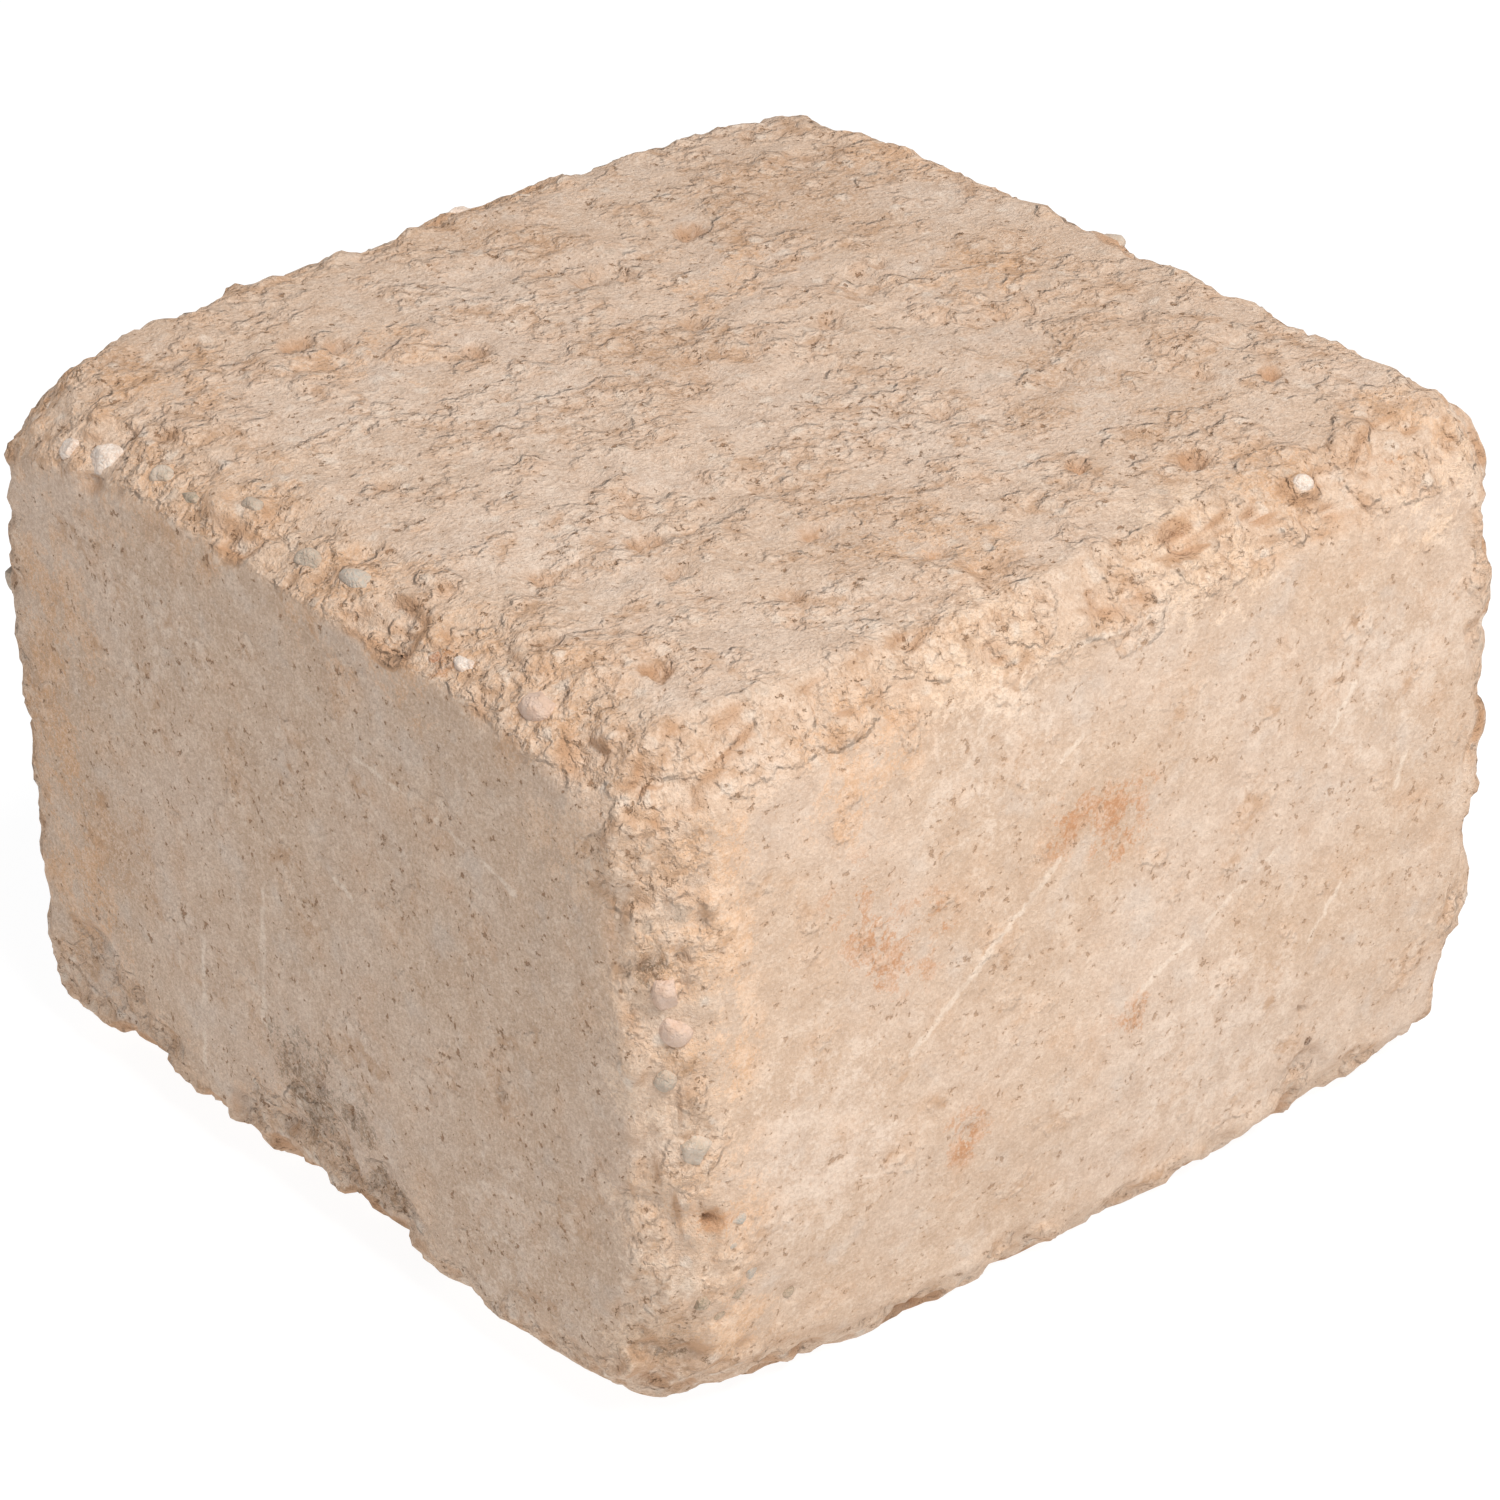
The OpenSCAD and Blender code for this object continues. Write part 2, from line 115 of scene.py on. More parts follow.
# Marks on the skin: iron in the sand, clay, soil from the drum and lime, and pale fines along the front
# arrises that are also a painted highlight. Each spot has its middle, in millimetres from the middle of
# the base, and how far it spreads
marks = {
    "rust": [
        (-38, -73, 67, 5), (-33.9, -73, 62.5, 6), (-41, -73, 72, 5), (-4.7, -73, 69, 4.5),
        (0.5, -73, 66.2, 5), (5.7, -73, 66.3, 4), (4.5, -73, 35.8, 3), (-24, -73, 30, 3.5),
        (-65, -73, 36, 2.5), (-71, -30, 99, 2), (52, -71, 100, 3), (20, 73, 60, 4), (73, -20, 40, 4),
    ],
    "ochre": [
        (-64.5, -73, 88, 8), (-40.8, -73, 91, 8), (-66, -73, 74, 7), (-66, -73, 60, 7),
        (-66, -73, 38, 8), (-62, -73, 18, 7), (-70, 62, 98, 10), (-60, 52, 102, 11),
        (-66, 18, 102, 9), (-68, -10, 101, 10), (-69, -26, 98, 8), (-67, -48, 101, 7),
        (-71, 40, 99, 9), (-73, 55, 72, 10), (-73, 58, 28, 11), (-73, 60, 48, 10),
        (34, -68, 101, 7), (58, -66, 99, 7), (70, 40, 101, 9), (20, 70, 101, 9),
        (72, 70, 40, 8), (-40, 72, 98, 7), (73, 10, 12, 8), (10, 73, 8, 9), (20, 24, 102, 8),
        (-30, 38, 102, 9), (44, 2, 102, 8), (-8, -52, 102, 7),
    ],
    "shade": [
        (34, -31, 102, 15), (42, 39, 102, 16), (-14, -40, 102, 9), (5, 60, 102, 12),
        (-2, 12, 102, 10), (-55, 60, 102, 9), (50, 5, 102, 9), (30, 73, 40, 14), (73, 30, 60, 14),
        (-73, 62, 60, 12), (-73, 48, 40, 12),
    ],
    # Pale fines down the front left arris and along the front top arris, painted paler as a highlight
    # where these arrises face the light
    "pale_fines_and_highlight": [
        (-70, -72, 88, 8), (-70, -72, 76, 8), (-70, -72, 64, 8), (-70, -72, 52, 8),
        (-70, -72, 40, 8), (-70, -72, 28, 8), (-70, -72, 16, 9), (60, -72, 98, 10),
        (20, -71, 99, 9), (-20, -71, 99, 9),
    ],
    "tan": [
        (-73, -1.7, 12, 11), (-73, 12, 10, 9), (-73, -14, 8, 9), (-73, 52, 12, 13),
        (-73, 38, 7, 9), (-73, -58, 86, 7), (73, -40, 16, 10), (-20, 73, 14, 10),
    ],
    "soil": [
        (-73, -0.5, 23.6, 5.5), (-73, 5.5, 25, 4.5), (-73, -7.5, 22, 4.5), (-73, -14, 14, 4),
        (-73, 2, 18, 4), (-71.5, -69, 73, 2.2), (-68, -72, 14, 3), (-71, -64, 97.5, 2),
        (-73, -4, 15, 3),
    ],
    "lime": [
        (6.8, -73, 93, 3), (-45, -25, 102, 9), (-20, 10, 102, 11), (-10, 48, 102, 9),
        (-58, -15, 102, 7), (-25, -60, 102, 8), (10, -25, 102, 9), (-45, 25, 102, 9),
        (30, 58, 102, 8), (56, 26, 102, 8), (-56, -73, 97, 5), (-70, -70, 97, 5),
        (-50, -73, 40, 12), (-20, -73, 85, 9), (20, -73, 25, 12), (50, -73, 70, 10),
        (-73, -40, 20, 10), (-73, 30, 80, 9), (-70, -72, 66, 5), (-69, -72, 48, 6),
        (-70, -72, 84, 7), (-70, -72, 28, 8),
    ],
}

# Places where the skin broke away, and smaller ones where sand was picked out of it
broken_spots = [
    (-73, 0, 12, 11), (-73, 13, 9, 9), (-73, -14, 8, 9), (-73, 53, 12, 12), (-73, 39, 7, 9),
    (40, -73, 8, 6), (73, -40, 12, 10), (-20, 73, 10, 10),
]
picked_spots = [
    (-73, 14, 62, 3.5), (-73, 15, 69, 3), (-73, 36, 66, 4), (-73, 41, 57, 3), (-73, 47, 47, 3),
    (-73, -17, 56, 3.5), (-73, -24, 50, 2.5), (-73, -10, 35, 3.5), (-73, -1, 76, 2.5),
    (-73, -13, 92, 3), (-73, 20, 86, 4), (-73, -41, 43, 2), (-38, -73, 66, 4), (4.5, -73, 36, 2.5),
    (-73, -52, 30, 3), (-73, -36, 70, 2.5), (20, -73, 12, 4), (58, -73, 20, 4), (73, 20, 60, 4),
    (30, 73, 66, 4), (-34, 73, 44, 3), (73, -10, 84, 4),
]

# Pale scratches from the drum: both ends, in millimetres, and the half width
scratches = [
    ((-73, -14, 79.4), (-73, -24, 78.8), 0.45), ((-73, -31, 78), (-73, -46, 74.6), 0.5),
    ((-73, 25, 34), (-73, 27, 13), 0.5), ((-73, 9.6, 50), (-73, 11.8, 28), 0.5),
    ((-73, -7, 58.6), (-73, -10.8, 57.2), 0.5), ((-33, -73, 46.5), (-8, -73, 64.5), 0.5),
    ((37.4, -73, 33), (42.8, -73, 39.6), 0.45), ((-13, -73, 75.4), (-4, -73, 81.1), 0.4),
    ((52.5, -73, 51), (55, -73, 57.5), 0.5), ((2.7, -73, 37.4), (31, -73, 50), 0.5),
    ((-34, -72, 98), (2, -73, 93.5), 0.45), ((5, -73, 90), (8.5, -73, 95.5), 0.45),
    ((40, -73, 64), (44, -73, 70), 0.4), ((20, 73, 30), (48, 73, 44), 0.5),
    ((-40, 73, 70), (-22, 73, 62), 0.4), ((73, -30, 50), (73, -8, 63), 0.5),
    ((73, 25, 30), (73, 31, 48), 0.4),
]


def cube_grid(cells, crowding):
    """Points and quads of a closed cube from -1 to 1, with cells[i] steps along axis i. A step's
    place t becomes (1 - crowding) t + crowding sin(pi t / 2), so rows crowd towards the edges.
    Points that two or three faces share are merged, and the quads face out."""
    steps = [np.linspace(-1, 1, n + 1) for n in cells]
    steps = [(1 - crowding) * t + crowding * np.sin(np.pi / 2 * t) for t in steps]
    points, quads, start = [], [], 0
    for axis in range(3):
        across, along = (axis + 1) % 3, (axis + 2) % 3
        for side in (-1, 1):
            u, v = np.meshgrid(steps[across], steps[along], indexing="ij")
            face = np.empty((u.size, 3))
            face[:, axis], face[:, across], face[:, along] = side, u.ravel(), v.ravel()
            index = start + np.arange(u.size).reshape(u.shape)
            ring = [index[:-1, :-1], index[1:, :-1], index[1:, 1:], index[:-1, 1:]]
            quads.append(np.stack(ring[::side], -1).reshape(-1, 4))
            points.append(face)
            start += u.size
    points, quads = np.concatenate(points), np.concatenate(quads)
    keys = np.round(points * 1e6).astype(np.int64)
    _, first, same = np.unique(keys, axis=0, return_index=True, return_inverse=True)
    return points[first], same.ravel()[quads]


def random_at(cell, seed):
    """A number from 0 to 1 for each whole-numbered cell: its indices times three large primes,
    joined by exclusive or, then multiplied and folded twice."""
    i, j, k = np.moveaxis(cell.astype(np.int64), -1, 0)
    mixed = (i * 73856093) ^ (j * 19349663) ^ (k * 83492791) ^ (seed * 961748927)
    for _ in range(2):
        mixed = ((mixed ^ (mixed >> 15)) * 1274126177) & 0x7FFFFFFF
    return (mixed & 0xFFFFF) / 0x100000


def turned(points):
    """The points turned about a slanted axis, so that no cell of a noise lines up with a face."""
    return points @ np.array([[0.63, -0.48, 0.61], [0.76, 0.55, -0.35], [-0.17, 0.68, 0.71]])


def noise(points, size, seed, octaves=1):
    """Smooth noise of about -1 to 1. Each cell of the given size has a random value at its corners,
    blended by t^3 (6 t^2 - 15 t + 10). Each further octave has half the size and half the height."""
    total, reach = 0.0, 0.0
    for octave in range(octaves):
        place = turned(points) * 2.0**octave / size + 0.37 * octave
        cell = np.floor(place)
        t = place - cell
        t = t**3 * (t * (6 * t - 15) + 10)
        level = 0.0
        for corner in np.ndindex(2, 2, 2):
            share = np.prod(np.where(corner, t, 1 - t), axis=-1)
            level = level + share * random_at(cell + corner, seed + 101 * octave)
        total = total + (2 * level - 1) * 0.5**octave
        reach += 0.5**octave
    return total / reach


def bowls(points, spacing, radius, share, seed):
    """Depth of small round hollows, in the points' own unit. Each cell holds a ball of up to the
    given radius, or none, and a point inside it lies at size (1 - (distance / size)^2)."""
    place = turned(points) / spacing
    home = np.floor(place)
    depth = np.zeros(len(points))
    for step in np.ndindex(3, 3, 3):
        cell = home + step - 1
        centre = cell + np.stack([random_at(cell, seed + k) for k in range(3)], -1)
        size = radius * (0.35 + 0.65 * random_at(cell, seed + 3) ** 2)
        size = np.where(random_at(cell, seed + 4) < share, size, 1e-6)
        gap = np.linalg.norm(place - centre, axis=-1) * spacing
        depth = np.maximum(depth, size * (1 - (gap / size) ** 2))
    return depth


def fade(value, start, end):
    """0 at start and 1 at end, by t^2 (3 - 2 t) between them."""
    t = np.clip((value - start) / (end - start), 0, 1)
    return t * t * (3 - 2 * t)


def terraces(value, steps, riser=0.3):
    """The value in flat steps with steep risers: the whole part of value times steps, plus a fade
    over the middle of the rest, over steps."""
    level = value * steps
    whole = np.floor(level)
    return (whole + fade(level - whole, 0.5 - riser / 2, 0.5 + riser / 2)) / steps


def wear_at(sharp):
    """How far the wear reaches along each axis at each point of the sharp block: the mean of the
    arrises' wear, each weighted by how near its edge is, drawn to a corner's radius beside one."""
    total, weight = np.zeros((len(sharp), 3)), np.zeros((len(sharp), 1))
    for first, second, first_wear, second_wear in arris_wear:
        first_gap = body_half @ np.abs(first) - sharp @ first
        second_gap = body_half @ np.abs(second) - sharp @ second
        near = np.exp(-((np.hypot(first_gap, second_gap) / arris_reach) ** 2))[:, None] + 1e-9
        along = (1 - np.abs(first) - np.abs(second)) * (first_wear + second_wear) / 2
        total += near * (np.abs(first) * first_wear + np.abs(second) * second_wear + along)
        weight += near
    wear = total / weight
    for corner, radius in corner_radii:
        near = np.exp(-(np.linalg.norm(sharp - body_half * corner, axis=1) / corner_reach) ** 2)
        wear += near[:, None] * (radius - wear)
    return wear


def worn_block(sharp):
    """The block with its arrises worn: a point runs from the core that the wear leaves towards the
    sharp block, up to where |x/a|^n + |y/b|^n + |z/c|^n = 1. Returns the points, the directions
    that they face and the wear."""
    wear = wear_at(sharp)
    core = np.clip(sharp, wear - body_half, body_half - wear)
    way = (sharp - core) / wear
    reach = (np.abs(way) ** roundness).sum(axis=1, keepdims=True) ** (1 / roundness)
    outward = np.sign(way) * np.abs(way) ** (roundness - 1) / wear
    outward /= np.linalg.norm(outward, axis=1, keepdims=True)
    return core + wear * way / reach, outward, wear


def spread(points, spots):
    """How strongly each point lies in a group of spots: the largest exp(-(distance / size)^2)."""
    gaps = [np.linalg.norm(points + body_middle - spot[:3], axis=1) / spot[3] for spot in spots]
    return np.exp(-(np.min(gaps, axis=0) ** 2))


def scooped(points, outward, centre, radius):
    """How far each point has to move inward, along its own outward direction, to leave a ball."""
    away = points - centre
    inside = np.maximum(radius**2 - np.einsum("ij,ij->i", away, away), 0)
    along = np.einsum("ij,ij->i", away, outward)
    return np.where(inside > 0, along + np.sqrt(along**2 + inside), 0)


def chip_ball(first, second, along, radius, bite):
    """Centre of the ball that scoops a chip out of an arris, in millimetres from the block's middle."""
    wear = next(w[2:] for w in arris_wear if w[0] is first and w[1] is second)
    run = 1 - np.abs(first) - np.abs(second)
    edge = body_half * (first + second - run) + along * run
    worn_back = (1 - 0.5 ** (1 / roundness)) * np.array(wear)
    out = (first + second) * math.sqrt(0.5)
    return edge - worn_back[0] * first - worn_back[1] * second + (radius - bite) * out


def solid_boxes(node):
    """Middles and half sizes, in millimetres, of the separate solids in a CAD node. Corners at one
    place share a number, each triangle takes the lowest number of its corners, and this is repeated
    until nothing changes."""
    mesh = frame["nodes"][node].data
    corners = np.zeros(len(mesh.vertices) * 3)
    mesh.vertices.foreach_get("co", corners)
    corners = corners.reshape(-1, 3) / MM
    mesh.calc_loop_triangles()
    triangles = np.zeros(len(mesh.loop_triangles) * 3, np.int32)
    mesh.loop_triangles.foreach_get("vertices", triangles)
    _, joined = np.unique(np.round(corners * 1e3), axis=0, return_inverse=True)
    joined = joined.ravel()
    triangles = joined[triangles.reshape(-1, 3)]
    label = np.arange(joined.max() + 1)
    while True:
        before = label.copy()
        np.minimum.at(label, triangles.ravel(), np.repeat(label[triangles].min(axis=1), 3))
        if (label == before).all():
            break
    boxes = []
    for number in np.unique(label[joined]):
        own = corners[label[joined] == number]
        boxes.append(((own.min(axis=0) + own.max(axis=0)) / 2, (own.max(axis=0) - own.min(axis=0)) / 2))
    return boxes


def leaned(points):
    """The points with the lower front leant back: most at the base and near the left arris, and
    fading upwards and towards the middle of the block."""
    x, y, z = (points - body_middle).T
    lean = lean_front + lean_corner * np.exp(-(((x + body_half[0]) / lean_width) ** 2))
    lean *= fade(z + body_half[2], lean_height, 0) * fade(-y / body_half[1], 0.4, 0.97)
    return points + lean[:, None] * BACK


def facing(points, quads):
    """Directions that a mesh's points face: the sum of the cross products of the diagonals of the
    quads round each point, at length 1."""
    corners = points[quads]
    across = np.cross(corners[:, 2] - corners[:, 0], corners[:, 3] - corners[:, 1])
    total = np.zeros_like(points)
    np.add.at(total, quads.ravel(), np.repeat(across, 4, axis=0))
    return total / np.linalg.norm(total, axis=1, keepdims=True)


def make_mesh(name, points, quads, **fields):
    """A smooth-shaded object of these points, in millimetres, with one number per point for each
    named field. The object sits at the origin."""
    mesh = bpy.data.meshes.new(name)
    mesh.from_pydata((points * MM).tolist(), [], quads.tolist())
    mesh.polygons.foreach_set("use_smooth", np.ones(len(quads), bool))
    for field, values in fields.items():
        mesh.attributes.new(field, "FLOAT", "POINT").data.foreach_set("value", values.astype(np.float32))
    mesh.validate()
    piece = bpy.data.objects.new(name, mesh)
    bpy.context.scene.collection.objects.link(piece)
    return piece


mortar_cells, row_crowding = (143, 143, 100), 0.45
grid, mortar_quads = cube_grid(mortar_cells, row_crowding)
sharp = grid * body_half
smooth, outward, wear = worn_block(sharp)

# How far each point is worn rough, lies on the top or underneath, and has lost its skin, from 0 to 1
to_edge = np.sort((body_half - np.abs(sharp)) / wear, axis=1)[:, 1]
worn = 1 - fade(to_edge + 0.45 * noise(smooth, size=8, seed=11, octaves=3), 0.75, 1.4)
topside = np.clip(outward[:, 2], 0, 1) ** 4 * (1 - worn)
underside = np.clip(-outward[:, 2], 0, 1) ** 2
broken = spread(smooth, broken_spots) + 0.35 * noise(smooth, size=4, seed=15, octaves=3)
broken = fade(broken, 0.35, 0.7) * (1 - worn)
flaky = topside * fade(noise(smooth, size=15, seed=44, octaves=3), -0.25, 0.2)
rough = np.clip(worn + topside + broken, 0, 1)
warp, warp_size = 1.1, 3.5
warped = smooth + warp * np.stack([noise(smooth, warp_size, seed, 2) for seed in (12, 13, 14)], -1)

# Each kind of relief: its height and the size of its features, in millimetres, the seed of its
# noise, and how many octaves that has. Ledges also have a number of steps for each unit of noise
relief_kinds = {
    "slow_swell": (0.45, 45, 21, 1), "swell": (0.18, 16, 22, 2),
    "arris_swell": (1.0, 9, 31, 2), "arris_crumbs": (0.9, 2.8, 32, 2),
    "top_swell": (0.5, 9, 42, 2), "top_crumbs": (0.55, 2.6, 43, 2),
    "broken_crumbs": (0.6, 2.4, 46, 2), "mould_skin": (0.16, 3, 51, 2),
}
ledge_kinds = {
    "arris": (1.3, 6, 33, 4, 4), "top": (1.0, 9, 41, 4, 5), "broken": (1.3, 5, 45, 3, 4),
}
ledge_riser = 0.6
arris_loss, top_loss, broken_loss = 0.45, 0.15, 0.7


def relief_of(kind):
    """Height of one kind of relief at each point of the block: its height times its noise."""
    high, size, seed, octaves = relief_kinds[kind]
    return high * noise(smooth, size, seed, octaves)


def ledges_of(kind):
    """Height of one kind of ledges: its height times its noise, at warped points, in terraces."""
    high, size, seed, octaves, steps = ledge_kinds[kind]
    return high * terraces(noise(warped, size, seed, octaves), steps, ledge_riser)


height = relief_of("slow_swell") + relief_of("swell")
height += worn * (relief_of("arris_swell") + ledges_of("arris"))
height += worn * (relief_of("arris_crumbs") - arris_loss)
height += flaky * ledges_of("top")
height += topside * (relief_of("top_swell") - top_loss) + flaky * relief_of("top_crumbs")
height += broken * (ledges_of("broken") + relief_of("broken_crumbs") - broken_loss)
height += (1 - rough) * relief_of("mould_skin")

chip_unevenness = 2.0 * noise(smooth, size=5, seed=61, octaves=3)
for first, second, along, chip_radius, bite in chips:
    centre = chip_ball(first, second, along, chip_radius, bite)
    height -= scooped(smooth, outward, centre, chip_radius + chip_unevenness)

# Pits: large ones where the mortar is rough, small and shallow ones everywhere, and the holes above
pitted = bowls(warped, spacing=7, radius=2.4, share=0.4, seed=71)
pitted *= np.clip(0.75 * topside + 0.5 * worn + broken, 0, 1)
pitted = np.maximum(pitted, bowls(warped, spacing=9, radius=1.6, share=0.3, seed=72) * 0.3)
hole_unevenness = 0.55 * noise(smooth, size=2.2, seed=73, octaves=2)
for *centre, hole_radius, depth in holes:
    gap = np.linalg.norm(warped + body_middle - centre, axis=1) / hole_radius
    pitted = np.maximum(pitted, depth * (1 - fade(gap + hole_unevenness, 0.2, 1.0)))
height -= pitted

# The mortar closes round each stone a little above the stone's middle: how far above, and how far
# the collar reaches, both as shares of the stone's half size, and how deep and how high it may go
seat_rise, collar_reach = 0.35, 2.2
deepest_seat, highest_seat = -3, 1
slot_of = {part["node"]: part["material_slot"] for part in frame["record"]["subparts"]}
stones = {node: solid_boxes(node) for node in sorted(set(slot_of) - {"mortar_body"})}
for middle, half in sum(stones.values(), []):
    size = half.mean()
    gap = np.linalg.norm(warped + body_middle - middle, axis=1) / size
    seat = ((middle - body_middle - smooth) * outward).sum(axis=1) + seat_rise * size
    seat = np.clip(seat, deepest_seat, highest_seat)
    height += (1 - fade(gap, 1.0, collar_reach)) * (seat - height)

# Nothing stands out under the block, and nothing goes below the ground
height -= fade(underside, 0.05, 0.6) * np.maximum(height, 0)
points = leaned(smooth + outward * height[:, None] + body_middle)
points[:, 2] = np.maximum(points[:, 2], body_low[2])

# Numbers at each point for the material: the marks, how worn, open, hollow, broken, picked and
# steep it is, and how coarse its skin is, which is finest on the front and fine on the right. How
# hollow and how steep it is set where shade is painted
fields = {mark: spread(smooth, spots) for mark, spots in marks.items()}
coarse = 1 - 0.65 * np.clip(-outward[:, 1], 0, 1) ** 2 - 0.3 * np.clip(outward[:, 0], 0, 1) ** 2
steep = 1 - (facing(points, mortar_quads) * outward).sum(axis=1)
opened = np.clip(worn + 0.8 * topside + broken, 0, 1)
fields.update(worn=worn, open=opened, cavity=np.clip(pitted / 1.2, 0, 1), coarse=coarse)
fields.update(broken=broken, picked=spread(smooth, picked_spots), steep=steep)
mortar = make_mesh("mortar_block", points, mortar_quads, **fields)
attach(mortar, "root")
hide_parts("mortar_body")


class Wire:
    """One output of a material's node tree. A sum or product of wires adds the Math nodes for it."""

    def __init__(self, tree, socket=None):
        self.tree, self.socket = tree, socket

    def add(self, kind, settings, sockets, output=0):
        """Adds a node of this kind. Its settings are set first, then each socket gets its number,
        colour or wire. Returns the wire from one of its outputs."""
        node = self.tree.nodes.new(kind)
        for name, value in settings.items():
            setattr(node, name, value)
        for name, value in sockets.items():
            if isinstance(value, Wire):
                self.tree.links.new(value.socket, node.inputs[name])
            else:
                node.inputs[name].default_value = value
        return Wire(self.tree, node.outputs[output])

    def math(self, operation, first, second=0.0):
        """A Math node of two numbers or wires."""
        return self.add("ShaderNodeMath", {"operation": operation}, {0: first, 1: second})

    def __add__(self, other):
        return self.math("ADD", self, other)

    def __sub__(self, other):
        return self.math("SUBTRACT", self, other)

    def __mul__(self, other):
        return self.math("MULTIPLY", self, other)

    def __rsub__(self, other):
        return self.math("SUBTRACT", other, self)

    __radd__, __rmul__ = __add__, __mul__

    def vector(self, operation, first, second=(0, 0, 0), output=0, **sockets):
        """A Vector Math node of two vectors or wires."""
        settings = {"operation": operation}
        return self.add("ShaderNodeVectorMath", settings, {0: first, 1: second, **sockets}, output)

    def fade(self, start, end):
        """0 at start and 1 at end, smooth between them."""
        limits = {"Value": self, "From Min": start, "From Max": end}
        return self.add("ShaderNodeMapRange", {"interpolation_type": "SMOOTHSTEP"}, limits)

    def grain(self, size, detail=2.0, roughness=0.5, output=0):
        """Noise from 0 to 1 at the wire's points, with features of a size in millimetres."""
        sockets = {"Vector": self, "Scale": 1 / (size * MM), "Detail": detail, "Roughness": roughness}
        return self.add("ShaderNodeTexNoise", {}, sockets, output)

    def from_line(self, start, end):
        """Distance, in millimetres, from the wire's points to the line between two places."""
        line = Vector(end) * MM - Vector(start) * MM
        offset = self.vector("SUBTRACT", self, Vector(start) * MM)
        share = self.vector("DOT_PRODUCT", offset, line / line.length_squared, "Value")
        share = self.add("ShaderNodeClamp", {}, {"Value": share})
        foot = self.vector("SCALE", line, Scale=share)
        return self.vector("DISTANCE", offset, foot, "Value") * (1 / MM)

    def tint(self, share, colour):
        """The wire's colour, with a share of it turned to another colour."""
        mix = {"data_type": "RGBA"}
        return self.add("ShaderNodeMix", mix, {"Factor": share, 6: self, 7: colour}, 2)


def new_material(name):
    """An empty material: the wire that its nodes hang on, its Object coordinates, and its shader."""
    material = bpy.data.materials.new(name)
    material.use_nodes = True
    tree = material.node_tree
    start = Wire(tree)
    place = start.add("ShaderNodeTexCoord", {}, {}, "Object")
    return material, start, place, tree.nodes["Principled BSDF"]


def connect(shader, tree, **wires):
    """Links each wire to the shader's socket of its name, with a space for each _."""
    for name, wire in wires.items():
        tree.links.new(wire.socket, shader.inputs[name.replace("_", " ")])


material, start, place, shader = new_material("buff_mortar")
tree = material.node_tree
field = {name: start.add("ShaderNodeAttribute", {"attribute_name": name}, {}, "Fac") for name in fields}

# Patterns at the mortar's own sizes, in millimetres, from clouds of colour down to grains of sand
mottle = place.grain(4, 5, 0.85)
patches = place.grain(9, 4, 0.6)
clouds = place.grain(30, 3)
sand = place.grain(0.55, 3, 0.8)
crumbs = place.grain(1.5, 3, 0.7)
swarms = place.grain(7, 2)

# The coordinates shifted unevenly, by up to this far, so that lumps and scratches aren't straight
shift = 1.2 * MM
uneven = place.vector("SCALE", place.grain(2.2, 3, 0.6, "Color"), Scale=2 * shift)
uneven = place.vector("ADD", place, place.vector("SUBTRACT", uneven, (shift, shift, shift)))

# Crumbly parts, where the mortar breaks up into lumps: most of a worn arris, much of the top and
# a little of each side
crumbly = swarms * 4.0 + patches * 4.0 - 4.45
crumbly = crumbly + field["open"] * 0.55 + field["worn"] * 0.25
crumbly = crumbly + field["broken"] * 0.5 + field["picked"] * 0.9
crumbly = (crumbly + field["coarse"] * 0.3).fade(0.15, 0.6)
lump_size, crumb_size = 2.6 * MM, 1.3 * MM
cells = {"Vector": uneven, "Scale": 1 / lump_size}
pick = start.add("ShaderNodeTexVoronoi", {}, cells, "Color")
pick = start.add("ShaderNodeSeparateColor", {}, {"Color": pick})
lump_gap = start.add("ShaderNodeTexVoronoi", {}, cells, "Distance")
cells = {"Vector": uneven, "Scale": 1 / crumb_size}
crumb_gap = start.add("ShaderNodeTexVoronoi", {}, cells, "Distance")
grit = lump_gap.fade(0.5, 0.2) * field["open"]

# Pores, dented in the bump and painted dark as shade, and the dull rim round each
pores = (crumbs - crumbly * 0.025).fade(0.345, 0.315)
halo = (crumbs - crumbly * 0.03).fade(0.42, 0.36)

# Colours of the mortar: the cement paste, what shows where it is open or worn, and its sand and grit;
# and painted light: a highlight on its lumps, and shade between lumps, on steep sides, in pores and
# hollows
tones = {
    "paste": (0.655, 0.475, 0.347, 1), "pale_cloud": (0.70, 0.53, 0.41, 1),
    "warm_patch": (0.69, 0.46, 0.31, 1), "pale_patch": (0.67, 0.55, 0.46, 1),
    "open_face": (0.79, 0.60, 0.47, 1), "worn_arris": (0.82, 0.57, 0.385, 1),
    "clay": (0.76, 0.47, 0.29, 1), "pale_grit": (0.84, 0.73, 0.62, 1),
    "dark_grit": (0.50, 0.42, 0.34, 1), "scratch": (0.90, 0.76, 0.63, 1),
    "pale_mottle": (0.92, 0.75, 0.61, 1), "dark_mottle": (0.48, 0.31, 0.205, 1),
    "pale_sand": (0.93, 0.78, 0.65, 1), "dark_sand": (0.42, 0.28, 0.185, 1),
    "pore_rim": (0.60, 0.36, 0.21, 1), "lump_highlight": (0.88, 0.71, 0.57, 1),
    "shade_between_lumps": (0.52, 0.31, 0.18, 1), "shade_between_crumbs": (0.46, 0.27, 0.16, 1),
    "steep_side_shade": (0.56, 0.32, 0.18, 1), "pore_shade": (0.34, 0.19, 0.105, 1),
    "hollow": (0.44, 0.26, 0.15, 1),
}
colour = start.add("ShaderNodeRGB", {}, {})
colour.socket.default_value = tones["paste"]
colour = colour.tint(clouds.fade(0.40, 0.62), tones["pale_cloud"])
colour = colour.tint(patches.fade(0.50, 0.68) * 0.6, tones["warm_patch"])
colour = colour.tint(patches.fade(0.46, 0.30) * 0.6, tones["pale_patch"])
colour = colour.tint(field["open"] * 0.30, tones["open_face"])
colour = colour.tint(field["worn"] * 0.32, tones["worn_arris"])
colour = colour.tint(field["open"] * swarms.fade(0.45, 0.65) * 0.35, tones["clay"])
